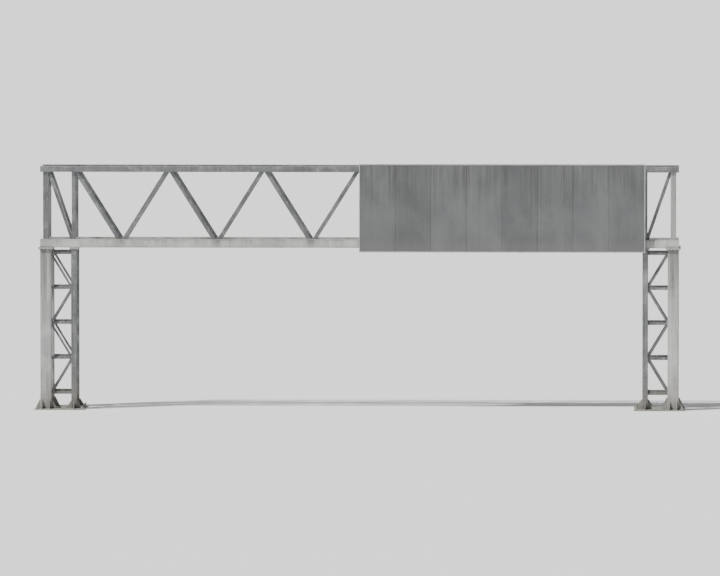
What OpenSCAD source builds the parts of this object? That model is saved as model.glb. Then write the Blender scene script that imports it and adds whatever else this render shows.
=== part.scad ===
// Overhead sign gantry: a portal of two laced legs and a box lattice boom,
// with one wide blank sign panel on the front of its right half.
// Millimetres. X runs along the span, -Y is the front (the sign's side),
// +Z is up. The origin is on the ground at the middle of the footprint.

/* [Span] */
// Distance from the middle to the centre line of an outer post
half_span = 11200; // [9600:100:12400]
// Distance between the outer and inner post of a leg, centre to centre
leg_width = 1000; // [900:50:1200]
// Number of lattice bays between the inner posts
bays = 6; // [4:2:8]
// Distance between the front and rear lattice faces, centre to centre
boom_width = 1500; // [1400:50:1600]

/* [Heights] */
// Height of the bottom chord's centre line above the ground
bottom_chord_z = 5950; // [5700:50:6200]
// Height of the top chord's centre line above the ground
top_chord_z = 8600; // [8400:50:8800]
// Height of the sign's top edge, the highest point
overall_h = 8800; // [8750:10:9100]

/* [Legs] */
// Side of an outer post's square tube
outer_post_w = 400; // [350:10:420]
// Side of an inner post's square tube
inner_post_w = 200; // [150:10:220]
// Side of the tubes that lace a leg
lacing_w = 90; // [70:5:100]

/* [Feet] */
// Length of a base plate along the span
plate_l = 1800; // [1750:10:1900]
// Width of a base plate across the span
plate_w = 800; // [760:10:900]
// Thickness of a base plate
plate_t = 40; // [30:5:60]
// Diameter of an anchor bolt hole
anchor_d = 48; // [36:2:56]
// Distance from an anchor hole to the plate's edges
anchor_inset = 100; // [80:5:110]

/* [Boom] */
// Depth of the bottom chord's tube
bottom_chord_h = 300; // [250:10:320]
// Depth of the top chord's tube
top_chord_h = 200; // [160:10:220]
// Width of both chords' tubes
chord_w = 300; // [250:10:320]
// Side of the diagonals in the front and rear faces
diagonal_w = 140; // [100:5:150]
// Side of the end verticals over the inner posts
vertical_w = 150; // [120:5:160]
// Side of the end verticals over the outer posts
outer_vertical_w = 200; // [150:10:260]
// Side of the struts that join the front and rear faces
strut_w = 100; // [80:5:120]

/* [Sign] */
// Length of the sign panel
sign_l = 10200; // [6800:100:10200]
// Height of the sign panel, trims included
sign_h = 3150; // [2900:10:3150]
// Depth of the sign's folded sheets
sign_t = 50; // [30:5:60]

/* [Hidden] */

$fn = 32;
xo = half_span;                       // outer post centre line
xi = half_span - leg_width;           // inner post centre line
bay = 2 * xi / bays;                  // one lattice bay
yf = boom_width / 2;                  // front and rear faces at -yf and +yf
post_r = 28;                          // corner radius of an outer post
tube_r = 16;                          // corner radius of the other big tubes
cap_t = 12;                           // thickness of the cap on a chord's end
bear_t = 50;                          // thickness of the plates on a post's top
zb_lo = bottom_chord_z - bottom_chord_h / 2;
zb_hi = bottom_chord_z + bottom_chord_h / 2;
zt_lo = top_chord_z - top_chord_h / 2;
zt_hi = top_chord_z + top_chord_h / 2;
x_chord = xo + outer_post_w / 2 - cap_t;   // end of a chord, without its cap
y_clear = yf - chord_w / 2;           // clear half width between the chords
y_post = yf - outer_post_w / 2;       // clear half width between outer posts
y_vert = yf - outer_vertical_w / 2;   // the same between outer verticals
plate_cx = (xo + xi) / 2;             // middle of a base plate
anchor_x = plate_l / 2 - anchor_inset;
anchor_y = plate_w / 2 - anchor_inset;
work = 150;                           // working point behind a chord's face

// levels of the horizontal members of a leg, up to the boom
rung_n = 4;
rung_0 = 600;
rung_top = zb_lo - 200;
rung_pitch = (rung_top - rung_0) / rung_n;
levels = [for (i = [0 : rung_n]) rung_0 + i * rung_pitch];

// front of the boom to the face of the sign
y_chord_face = -yf - chord_w / 2;     // front face of the chords
bracket_t = 20;
sign_post_w = 100;
rail_t = 40;
rail_h = 80;
y_bracket = y_chord_face - bracket_t;
y_sign_post = y_bracket - sign_post_w;
y_rail = y_sign_post - rail_t;
y_sign = y_rail - sign_t;
sign_x0 = xi - sign_l;                // left end of the sign
sign_z1 = overall_h;                  // top of the sign
sign_z0 = sign_z1 - sign_h;           // bottom of the sign
sign_posts_n = 6;
sign_post_x = [for (i = [0 : sign_posts_n - 1])
    sign_x0 + (i + 0.5) * sign_l / sign_posts_n];
trim_h = 30;                          // height of the trims round the sign
trim_lip = 10;                        // how far they stand over its faces
rails_n = 5;
sheets_n = 8;
sheet_gap = 6;

steel_light = [0.83, 0.84, 0.84];
steel_grey = [0.58, 0.59, 0.59];
panel_grey = [0.47, 0.48, 0.48];
alu = [0.72, 0.73, 0.73];

// ---------------------------------------------------------------- helpers

// a square or oblong tube's outline with rounded corners
module section(w, h, r) {
    union() {
        square([w - 2 * r, h], center = true);
        square([w, h - 2 * r], center = true);
        for (sx = [-1, 1], sy = [-1, 1])
            translate([sx * (w / 2 - r), sy * (h / 2 - r)]) circle(r = r);
    }
}

// a bar along X
module bar_x(x0, x1, y, z, wy, hz, r)
    translate([x0, y, z]) rotate([90, 0, 90])
        linear_extrude(x1 - x0) section(wy, hz, r);

// a bar along Y
module bar_y(x, y0, y1, z, wx, hz, r)
    translate([x, y1, z]) rotate([90, 0, 0])
        linear_extrude(y1 - y0) section(wx, hz, r);

// a bar along Z
module bar_z(x, y, z0, z1, wx, wy, r)
    translate([x, y, z0]) linear_extrude(z1 - z0) section(wx, wy, r);

// a slanting bar in the plane y, from (xa, za) to (xb, zb), its ends cut
// flat by the edges of the window x0..x1, z0..z1
module slant_xz(xa, za, xb, zb, y, w, r, x0, x1, z0, z1) {
    len = norm([xb - xa, zb - za]);
    ang = atan2(zb - za, xb - xa);
    intersection() {
        translate([xa, y, za]) rotate([0, -ang, 0]) translate([-w, 0, 0])
            rotate([90, 0, 90]) linear_extrude(len + 2 * w) section(w, w, r);
        translate([x0, y - w, z0]) cube([x1 - x0, 2 * w, z1 - z0]);
    }
}

// a slanting bar in the plane x, from (ya, za) to (yb, zb)
module slant_yz(ya, za, yb, zb, x, w, r, y0, y1, z0, z1) {
    len = norm([yb - ya, zb - za]);
    ang = atan2(zb - za, yb - ya);
    intersection() {
        translate([x, ya, za]) rotate([ang, 0, 0]) translate([0, len + w, 0])
            rotate([90, 0, 0]) linear_extrude(len + 2 * w) section(w, w, r);
        translate([x - w, y0, z0]) cube([2 * w, y1 - y0, z1 - z0]);
    }
}

// a slanting bar in the plane z, from (xa, ya) to (xb, yb)
module slant_xy(xa, ya, xb, yb, z, w, r, x0, x1, y0, y1) {
    len = norm([xb - xa, yb - ya]);
    ang = atan2(yb - ya, xb - xa);
    intersection() {
        translate([xa, ya, z]) rotate([0, 0, ang]) translate([-w, 0, 0])
            rotate([90, 0, 90]) linear_extrude(len + 2 * w) section(w, w, r);
        translate([x0, y0, z - w]) cube([x1 - x0, y1 - y0, 2 * w]);
    }
}

// the left side is the right side mirrored
module side(s) { if (s < 0) mirror([1, 0, 0]) children(); else children(); }

// ------------------------------------------------------------------- feet

module base_plate(y) {
    difference() {
        translate([plate_cx - plate_l / 2, y - plate_w / 2, 0])
            cube([plate_l, plate_w, plate_t]);
        for (sx = [-1, 1], sy = [-1, 1])
            translate([plate_cx + sx * anchor_x, y + sy * anchor_y, -10])
                cylinder(d = anchor_d, h = plate_t + 20, $fn = 48);
    }
}

// one stiffener fin: its foot on the plate and its back on the post
module fin(reach, rise, t)
    rotate([90, 0, 0]) translate([0, 0, -t / 2]) linear_extrude(t)
        polygon([[0, 0], [reach, 0], [reach, 40], [30, rise], [0, rise]]);

// the fins of one post, set round its four sides
module post_fins(x, y, w, off, reach, rise, t) {
    for (a = [0, 90, 180, 270])
        for (s = (off > 0) ? [-1, 1] : [0])
            translate([x, y, plate_t]) rotate([0, 0, a])
                translate([w / 2, s * off, 0]) fin(reach, rise, t);
}

module base_stiffeners() {
    for (y = [-yf, yf]) {
        post_fins(xo, y, outer_post_w, 130, 170, 320, 16);
        post_fins(xi, y, inner_post_w, 0, 170, 260, 16);
    }
}

// ------------------------------------------------------------------- legs

module outer_posts()
    for (y = [-yf, yf])
        bar_z(xo, y, plate_t, zb_lo - bear_t,
              outer_post_w, outer_post_w, post_r);

module inner_posts()
    for (y = [-yf, yf])
        bar_z(xi, y, plate_t, zb_lo - bear_t,
              inner_post_w, inner_post_w, tube_r);

// the boom stands on one plate over each post
module bearing_plates()
    for (y = [-yf, yf]) {
        w = outer_post_w + 140;
        translate([xo - w / 2, y - w / 2, zb_lo - bear_t])
            cube([w, w, bear_t]);
        translate([xi - 160, y - 150, zb_lo - bear_t])
            cube([320, 300, bear_t]);
    }

// level members between the outer and inner post, in both faces
module side_rungs()
    for (y = [-yf, yf], z = levels)
        bar_x(xi + inner_post_w / 2, xo - outer_post_w / 2, y, z,
              lacing_w, lacing_w, 8);

// slanting members between those rungs, turned about each time
module side_slants() {
    x0 = xi + inner_post_w / 2;
    x1 = xo - outer_post_w / 2;
    h = lacing_w / 2;
    for (y = [-yf, yf], i = [0 : rung_n - 1]) {
        up = (i % 2 == 0);
        slant_xz(up ? x1 : x0, levels[i] + h, up ? x0 : x1, levels[i + 1] - h,
                 y, lacing_w - 14, 8, x0, x1, levels[i] + h, levels[i + 1] - h);
    }
}

// level members between the front and rear outer posts
module cross_rungs()
    for (z = levels)
        bar_y(xo, -y_post, y_post, z, lacing_w, lacing_w, 8);

// slanting members between those rungs
module cross_slants() {
    h = lacing_w / 2;
    for (i = [0 : rung_n - 1]) {
        s = (i % 2 == 0) ? -1 : 1;
        slant_yz(s * y_post, levels[i] + h, -s * y_post, levels[i + 1] - h,
                 xo, lacing_w - 14, 8, -y_post, y_post,
                 levels[i] + h, levels[i + 1] - h);
    }
}

// ------------------------------------------------------------------- boom

module chord(y, z, h) bar_x(-x_chord, x_chord, y, z, chord_w, h, tube_r);

// the plates that close the chords' ends
module chord_end_caps()
    for (y = [-yf, yf], c = [[bottom_chord_z, bottom_chord_h],
                             [top_chord_z, top_chord_h]])
        bar_x(x_chord, x_chord + cap_t, y, c[0], chord_w, c[1], tube_r);

// one vertical over each post
module end_verticals()
    for (y = [-yf, yf]) {
        bar_z(xi, y, zb_hi, zt_lo, vertical_w, vertical_w, 12);
        bar_z(xo, y, zb_hi, zt_lo, outer_vertical_w, outer_vertical_w, tube_r);
    }

module corner_braces() {
    x0 = xi + vertical_w / 2;
    x1 = xo - outer_vertical_w / 2;
    for (y = [-yf, yf])
        slant_xz(x0, zb_hi, x1, zt_lo, y, 100, 10, x0, x1, zb_hi, zt_lo);
}

// the slanting member between the front and rear outer verticals
module end_cross_braces()
    slant_yz(-y_vert, zb_hi + 250, y_vert, zt_lo - 250, xo, lacing_w - 14, 8,
             -y_vert, y_vert, zb_hi, zt_lo);

// a row of slanting members from each top node down to both bottom nodes
module face_diagonals(y) {
    xe = xi - vertical_w / 2;
    za = zt_lo + work;
    zb = zb_hi - work;
    for (i = [0 : bays - 1]) {
        xa = -xi + i * bay;
        xm = xa + bay / 2;
        slant_xz(xa, za, xm, zb, y, diagonal_w, 14, -xe, xe, zb_hi, zt_lo);
        slant_xz(xm, zb, xa + bay, za, y, diagonal_w, 14, -xe, xe, zb_hi, zt_lo);
    }
}

top_x = concat([-xo], [for (i = [0 : bays]) -xi + i * bay], [xo]);
bottom_x = concat([-xo, -xi], [for (i = [0 : bays - 1]) -xi + (i + 0.5) * bay],
                  [xi, xo]);

module struts(xs, z)
    for (x = xs) bar_y(x, -y_clear, y_clear, z, strut_w, strut_w, 10);

// one slanting member between each pair of struts, turned about each time
module lacing(xs, z) {
    h = strut_w / 2;
    for (i = [0 : len(xs) - 2]) {
        s = (i % 2 == 0) ? -1 : 1;
        slant_xy(xs[i] + h, s * y_clear, xs[i + 1] - h, -s * y_clear,
                 z, lacing_w - 14, 8,
                 xs[i] + h, xs[i + 1] - h, -y_clear, y_clear);
    }
}

// ------------------------------------------------------------------- sign

// upright trays of folded sheet, side by side
module sheets() {
    w = (sign_l - 2 * trim_h - (sheets_n - 1) * sheet_gap) / sheets_n;
    for (i = [0 : sheets_n - 1])
        translate([sign_x0 + trim_h + i * (w + sheet_gap), y_sign,
                   sign_z0 + trim_h])
            cube([w, sign_t, sign_h - 2 * trim_h]);
}

module long_trims()
    for (z = [sign_z0, sign_z1 - trim_h])
        translate([sign_x0, y_sign - trim_lip, z])
            cube([sign_l, sign_t + trim_lip, trim_h]);

module side_trims()
    for (x = [sign_x0, sign_x0 + sign_l - trim_h])
        translate([x, y_sign - trim_lip, sign_z0 + trim_h])
            cube([trim_h, sign_t + trim_lip, sign_h - 2 * trim_h]);

module rails()
    for (i = [0 : rails_n - 1])
        translate([sign_x0 + 60, y_rail,
                   sign_z0 + 150 + i * (sign_h - 300 - rail_h) / (rails_n - 1)])
            cube([sign_l - 120, rail_t, rail_h]);

module posts_of_sign()
    for (x = sign_post_x)
        bar_z(x, y_sign_post + sign_post_w / 2, sign_z0 + 60, sign_z1 - 60,
              sign_post_w, sign_post_w, 10);

module brackets(z, h)
    for (x = sign_post_x)
        translate([x - 130, y_bracket, z - h / 2]) cube([260, bracket_t, h]);

// --------------------------------------------------------- the named pieces

module left_front_base_plate() color(steel_light) side(-1) base_plate(-yf);
module left_rear_base_plate() color(steel_light) side(-1) base_plate(yf);
module left_base_stiffeners() color(steel_light) side(-1) base_stiffeners();
module left_outer_posts() color(steel_light) side(-1) outer_posts();
module left_inner_posts() color(steel_grey) side(-1) inner_posts();
module left_bearing_plates() color(steel_light) side(-1) bearing_plates();
module left_side_rungs() color(steel_grey) side(-1) side_rungs();
module left_side_slants() color(steel_grey) side(-1) side_slants();
module left_cross_rungs() color(steel_grey) side(-1) cross_rungs();
module left_cross_slants() color(steel_grey) side(-1) cross_slants();
module left_chord_end_caps() color(steel_light) side(-1) chord_end_caps();
module left_end_verticals() color(steel_grey) side(-1) end_verticals();
module left_corner_braces() color(steel_grey) side(-1) corner_braces();
module left_end_cross_braces() color(steel_grey) side(-1) end_cross_braces();
module right_front_base_plate() color(steel_light) side(1) base_plate(-yf);
module right_rear_base_plate() color(steel_light) side(1) base_plate(yf);
module right_base_stiffeners() color(steel_light) side(1) base_stiffeners();
module right_outer_posts() color(steel_light) side(1) outer_posts();
module right_inner_posts() color(steel_grey) side(1) inner_posts();
module right_bearing_plates() color(steel_light) side(1) bearing_plates();
module right_side_rungs() color(steel_grey) side(1) side_rungs();
module right_side_slants() color(steel_grey) side(1) side_slants();
module right_cross_rungs() color(steel_grey) side(1) cross_rungs();
module right_cross_slants() color(steel_grey) side(1) cross_slants();
module right_chord_end_caps() color(steel_light) side(1) chord_end_caps();
module right_end_verticals() color(steel_grey) side(1) end_verticals();
module right_corner_braces() color(steel_grey) side(1) corner_braces();
module right_end_cross_braces() color(steel_grey) side(1) end_cross_braces();
module front_bottom_chord() color(steel_light) chord(-yf, bottom_chord_z, bottom_chord_h);
module rear_bottom_chord() color(steel_light) chord(yf, bottom_chord_z, bottom_chord_h);
module front_top_chord() color(steel_grey) chord(-yf, top_chord_z, top_chord_h);
module rear_top_chord() color(steel_grey) chord(yf, top_chord_z, top_chord_h);
module front_diagonals() color(steel_grey) face_diagonals(-yf);
module rear_diagonals() color(steel_grey) face_diagonals(yf);
module top_struts() color(steel_grey) struts(top_x, top_chord_z);
module top_lacing() color(steel_grey) lacing(top_x, top_chord_z);
module bottom_struts() color(steel_light) struts(bottom_x, bottom_chord_z);
module bottom_lacing() color(steel_light) lacing(bottom_x, bottom_chord_z);
module sign_sheets() color(panel_grey) sheets();
module sign_long_trims() color(alu) long_trims();
module sign_side_trims() color(alu) side_trims();
module sign_rails() color(alu) rails();
module sign_posts() color(steel_grey) posts_of_sign();
module upper_sign_brackets() color(steel_grey) brackets(top_chord_z, top_chord_h - 20);
module lower_sign_brackets() color(steel_grey) brackets(bottom_chord_z, bottom_chord_h - 20);

left_front_base_plate();
left_rear_base_plate();
left_base_stiffeners();
left_outer_posts();
left_inner_posts();
left_bearing_plates();
left_side_rungs();
left_side_slants();
left_cross_rungs();
left_cross_slants();
left_chord_end_caps();
left_end_verticals();
left_corner_braces();
left_end_cross_braces();
right_front_base_plate();
right_rear_base_plate();
right_base_stiffeners();
right_outer_posts();
right_inner_posts();
right_bearing_plates();
right_side_rungs();
right_side_slants();
right_cross_rungs();
right_cross_slants();
right_chord_end_caps();
right_end_verticals();
right_corner_braces();
right_end_cross_braces();
front_bottom_chord();
rear_bottom_chord();
front_top_chord();
rear_top_chord();
front_diagonals();
rear_diagonals();
top_struts();
top_lacing();
bottom_struts();
bottom_lacing();
sign_sheets();
sign_long_trims();
sign_side_trims();
sign_rails();
sign_posts();
upper_sign_brackets();
lower_sign_brackets();
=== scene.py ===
"""Looks of the overhead sign gantry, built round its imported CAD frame.

Metres, in the CAD frame: X along the span, -Y the front (the sign's side),
Z up, origin on the ground at the middle of the footprint.
"""

import math

import bpy
import numpy as np
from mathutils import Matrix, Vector


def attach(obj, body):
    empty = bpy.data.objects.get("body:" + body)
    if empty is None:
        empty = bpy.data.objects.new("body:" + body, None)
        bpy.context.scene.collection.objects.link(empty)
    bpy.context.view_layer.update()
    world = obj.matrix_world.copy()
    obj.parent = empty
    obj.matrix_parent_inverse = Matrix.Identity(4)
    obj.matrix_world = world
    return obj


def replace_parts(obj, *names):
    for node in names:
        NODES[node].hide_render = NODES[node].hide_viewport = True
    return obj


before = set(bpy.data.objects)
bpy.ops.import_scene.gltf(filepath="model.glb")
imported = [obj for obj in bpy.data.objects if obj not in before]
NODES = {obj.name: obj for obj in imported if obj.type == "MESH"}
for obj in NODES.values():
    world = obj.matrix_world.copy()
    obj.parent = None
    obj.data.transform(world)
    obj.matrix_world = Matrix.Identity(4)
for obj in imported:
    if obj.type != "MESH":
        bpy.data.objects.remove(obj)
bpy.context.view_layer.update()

# ------------------------------------------------------------------ camera

# The view is from far away and nearly square on: about 3 degrees down, and
# from a little to the right.
AZIMUTH, ELEVATION, DISTANCE = 1.8, 3.0, 347.0
TARGET = Vector((0.0, 0.0, 4.32))


def make_camera():
    data = bpy.data.cameras.new("camera")
    data.sensor_width = 36.0
    data.lens = 485.0
    data.clip_start, data.clip_end = 1.0, 4000.0
    cam = bpy.data.objects.new("camera", data)
    bpy.context.scene.collection.objects.link(cam)
    a, e = math.radians(AZIMUTH), math.radians(ELEVATION)
    back = Vector((math.sin(a) * math.cos(e), -math.cos(a) * math.cos(e), math.sin(e)))
    cam.location = TARGET + back * DISTANCE
    cam.rotation_mode = "QUATERNION"
    cam.rotation_quaternion = (-back).to_track_quat("-Z", "Y")
    bpy.context.scene.camera = cam


make_camera()

# ------------------------------------------- sizes, as in the CAD, in metres

XO, XI = 11.2, 10.2            # centre lines of the outer and inner posts
YF = 0.75                      # front and rear faces at -YF and +YF
POST, INNER = 0.4, 0.2         # sides of the posts
PLATE_T = 0.04
PLATE_X = 10.7
ANCHOR_X, ANCHOR_Y = 0.8, 0.3
ZB, ZT = 5.95, 8.6             # centre lines of the bottom and top chords
ZB_LO, ZB_HI, ZT_LO, ZT_HI = 5.8, 6.1, 8.5, 8.7
X_CHORD, CAP_T = 11.388, 0.012
Z_BEAR = 5.75                  # top of the posts, underside of their plates
Y_CLEAR, Y_POST, Y_VERT = 0.6, 0.55, 0.65
LACE = 0.09
SLANT = 0.076
DIAG = 0.14
VERT, OUTER_VERT = 0.15, 0.2
STRUT = 0.1
BAYS = 6
BAY = 3.4
TOP = 8.8
LEVELS = [0.6 + 1.25 * i for i in range(5)]
SIGN_X0, SIGN_X1 = 0.0, 10.2
SIGN_Z0, SIGN_Z1 = 5.65, 8.8
Y_FACE, Y_TRAY_BACK = -1.11, -1.06
Y_RAIL_BACK = -1.02
Y_BRACKET = -0.92
TRIM = 0.03
SHEETS = 8
SHEET_W = 1.26225
SHEET_GAP = 0.006
SIGN_POST_X = [0.85 + 1.7 * i for i in range(6)]
RAIL_Z = [5.80 + 0.6925 * i for i in range(5)]
RAIL_H = 0.08

rng = np.random.default_rng(20)


# ------------------------------------------------------------ shells of mesh
# A shell is (points, faces): one closed surface with its faces turned outward.

def shell(points, faces):
    p = np.asarray(points, float).reshape(-1, 3)
    volume = 0.0
    for f in faces:
        a = p[f[0]]
        for i in range(1, len(f) - 1):
            volume += float(np.dot(a, np.cross(p[f[i]], p[f[i + 1]])))
    if volume < 0:
        faces = [tuple(reversed(f)) for f in faces]
    return p, faces


def loft(rings, loop=False):
    """Joins rings of equal length; the ends are closed, or joined to each other."""
    rings = np.asarray(rings, float)
    count, n = rings.shape[:2]
    faces = []
    for i in range(count if loop else count - 1):
        a, b = i * n, ((i + 1) % count) * n
        for j in range(n):
            k = (j + 1) % n
            faces.append((a + j, a + k, b + k, b + j))
    if not loop:
        faces.append(tuple(range(n - 1, -1, -1)))
        faces.append(tuple(range((count - 1) * n, count * n)))
    return shell(rings.reshape(-1, 3), faces)


def circle(r, z, n):
    t = np.arange(n) * 2 * math.pi / n
    return np.stack([r * np.cos(t), r * np.sin(t), np.full(n, z)], 1)


def lathe(profile, n=24, loop=False):
    return loft([circle(r, z, n) for r, z in profile], loop)


def hexagon(across, z, n, rise=0.0, flat_r=0.0):
    """A ring on a hexagon. rise lifts it where it stands out past flat_r, as a
    turned chamfer does."""
    t = np.arange(n) * 2 * math.pi / n
    turn = (t + math.pi / 6) % (math.pi / 3) - math.pi / 6
    r = across / 2 / np.cos(turn)
    return np.stack([r * np.cos(t), r * np.sin(t), z + rise * (r - flat_r)], 1)


def nut(across, height, hole):
    r0, n, c = across * 0.475, 24, math.tan(math.radians(30))
    return loft([circle(hole, 0, n), circle(r0, 0, n), hexagon(across, 0, n, c, r0),
                 hexagon(across, height, n, -c, r0), circle(r0, height, n),
                 circle(hole, height, n)], loop=True)


def bolt_head(across, height):
    r0, n, c = across * 0.475, 24, math.tan(math.radians(30))
    return loft([circle(r0, -0.0005, n), circle(r0, 0.0006, n), hexagon(across, 0.0006, n),
                 hexagon(across, height, n, -c, r0), circle(r0, height, n)])


def washer(hole, r, t):
    b = t * 0.15
    return lathe([(hole, 0), (r - b, 0), (r, b), (r, t - b), (r - b, t), (hole, t)], 28, True)


def rod(r, z0, z1, chamfer=0.002, n=20):
    return lathe([(r, z0), (r, z1 - chamfer), (r - chamfer, z1)], n)


def thread(core, crest, pitch, z0, z1, n=14):
    """The ridge of a screw thread, one closed strip wound round a core."""
    count = int((z1 - z0) / pitch * n)
    rings = []
    for k in range(count):
        t, z = 2 * math.pi * k / n, z0 + pitch * k / n
        s = min(1.0, min(k, count - 1 - k) / (n * 0.5))
        r = core * 0.98 + (crest - core * 0.98) * s
        rings.append([(q * math.cos(t), q * math.sin(t), z + h * pitch) for q, h in
                      ((core - 0.001, -0.40), (r, -0.08), (r, 0.08), (core - 0.001, 0.40))])
    return loft(rings)


def outline(w, h, r, step=None, corner=4):
    """A rounded oblong: its points, anticlockwise, and its outward normals."""
    pts, nrm = [], []
    for sx, sy, a0 in ((1, 1, 0), (-1, 1, 90), (-1, -1, 180), (1, -1, 270)):
        cx, cy = sx * (w / 2 - r), sy * (h / 2 - r)
        for i in range(corner + 1):
            a = math.radians(a0 + 90 * i / corner)
            pts.append((cx + r * math.cos(a), cy + r * math.sin(a)))
            nrm.append((math.cos(a), math.sin(a)))
    if step:
        p2, n2 = [], []
        for i in range(len(pts)):
            a, b = np.array(pts[i]), np.array(pts[(i + 1) % len(pts)])
            cuts = max(1, int(round(np.linalg.norm(b - a) / step)))
            for k in range(cuts):
                p2.append(a + (b - a) * k / cuts)
                m = np.array(nrm[i]) + (np.array(nrm[(i + 1) % len(pts)]) - np.array(nrm[i])) * k / cuts
                n2.append(m / np.linalg.norm(m))
        pts, nrm = p2, n2
    return np.array(pts, float), np.array(nrm, float)


def slab(size, at, bevel=0.002, r=0.0):
    """A plate with eased edges, its middle at that point. r rounds it in plan."""
    sx, sy, sz = size
    r = max(r, bevel)
    full, _ = outline(sx, sy, r, corner=3)
    less, _ = outline(sx - 2 * bevel, sy - 2 * bevel, max(r - bevel, 1e-4), corner=3)
    rings = []
    for plan, z in ((less, -sz / 2), (full, -sz / 2 + bevel), (full, sz / 2 - bevel), (less, sz / 2)):
        rings.append(np.column_stack([plan, np.full(len(plan), z)]) + np.array(at, float))
    return loft(rings)


def turned(z_to, spin=0.0):
    """The turn that takes +Z to that direction, after a spin about itself."""
    w = np.array(z_to, float)
    w /= np.linalg.norm(w)
    u = np.cross((0, 1, 0) if abs(w[1]) < 0.9 else (1, 0, 0), w)
    u /= np.linalg.norm(u)
    v = np.cross(w, u)
    c, s = math.cos(spin), math.sin(spin)
    return np.column_stack([u * c + v * s, v * c - u * s, w])


class Piece:
    """Many shells joined into one mesh."""

    def __init__(self):
        self.points, self.faces, self.slots, self.count = [], [], [], 0

    def add(self, made, at=None, turn=None, slot=0, mirror=False):
        p, faces = made
        if turn is not None:
            p = p @ np.asarray(turn).T
        if at is not None:
            p = p + np.asarray(at, float)
        if mirror:
            p = p * (-1, 1, 1)
            faces = [tuple(reversed(f)) for f in faces]
        self.points.append(p)
        n = self.count
        self.faces += [tuple(i + n for i in f) for f in faces]
        self.slots += [slot] * len(faces)
        self.count += len(p)

    def make(self, name, materials, slot_name, sharp=32.0):
        mesh = bpy.data.meshes.new(name)
        mesh.from_pydata(np.concatenate(self.points), [], self.faces)
        for m in materials:
            mesh.materials.append(m)
        mesh.polygons.foreach_set("material_index", np.array(self.slots, np.int32))
        mesh.polygons.foreach_set("use_smooth", np.ones(len(mesh.polygons), bool))
        mesh.set_sharp_from_angle(angle=math.radians(sharp))
        mesh.update()
        ob = bpy.data.objects.new(name, mesh)
        bpy.context.scene.collection.objects.link(ob)
        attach(ob, "root")
        return ob


# ------------------------------------------------------------------- welds

BEAD = np.array([(-0.15, 1.0), (0.36, 0.74), (0.74, 0.36), (1.0, -0.15), (-0.15, -0.15)])


def ripple(count):
    wave = 1 + 0.07 * np.sin(np.arange(count) * 2.1 + rng.uniform(0, 6))
    return wave + rng.normal(0, 0.05, count)


def end_bead(piece, origin, d, u, v, w, h, r, planes, leg, mirror=False, step=0.012):
    """The fillet weld round a bar's end. The bar runs from origin along d, with
    its section along u and v, and ends where it first meets one of the planes,
    each given as a point and the normal towards the bar."""
    origin, d, u, v = (np.array(a, float) for a in (origin, d, u, v))
    d /= np.linalg.norm(d)
    pts, nrm = outline(w, h, r, step)
    size = leg * ripple(len(pts))
    rings = []
    for (a, b), (na, nb), k in zip(pts, nrm, size):
        p0 = origin + u * a + v * b
        best = None
        for q, n in planes:
            q, n = np.array(q, float), np.array(n, float)
            dn = float(d @ n)
            if dn < -1e-6:
                t = float((q - p0) @ n) / dn
                if best is None or t < best[0]:
                    best = (t, n)
        t, n = best
        side = u * na + v * nb
        out = side - n * float(side @ n)
        out /= np.linalg.norm(out)
        foot = p0 + d * t
        rings.append([foot + out * x * k - d * y * k for x, y in BEAD])
    piece.add(loft(rings, loop=True), mirror=mirror)


def line_bead(piece, p0, p1, out, up, leg, mirror=False, step=0.014):
    """A fillet weld along a straight corner, its legs along out and up."""
    p0, p1, out, up = (np.array(a, float) for a in (p0, p1, out, up))
    count = max(3, int(np.linalg.norm(p1 - p0) / step) + 1)
    size = leg * ripple(count)
    size[0] *= 0.5
    size[-1] *= 0.5
    rings = [[p0 + (p1 - p0) * i / (count - 1) + out * x * k + up * y * k for x, y in BEAD]
             for i, k in zip(range(count), size)]
    piece.add(loft(rings), mirror=mirror)


def seam(piece, origin, d, u, v, w, h, r, width, proud, mirror=False, step=0.016):
    """The low bead of a butt weld round a bar, where two lengths meet flush."""
    origin, d, u, v = (np.array(a, float) for a in (origin, d, u, v))
    pts, nrm = outline(w, h, r, step)
    rings = []
    for (a, b), (na, nb), k in zip(pts, nrm, ripple(len(pts))):
        p0, out = origin + u * a + v * b, u * na + v * nb
        rings.append([p0 + d * x * width * (0.7 + 0.3 * k) + out * y for x, y in
                      ((-0.5, -0.0008), (-0.26, proud * 0.75 * k), (0.0, proud * k),
                       (0.26, proud * 0.75 * k), (0.5, -0.0008))])
    piece.add(loft(rings, loop=True), mirror=mirror)


# ------------------------------------------------------------ material trees

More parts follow.
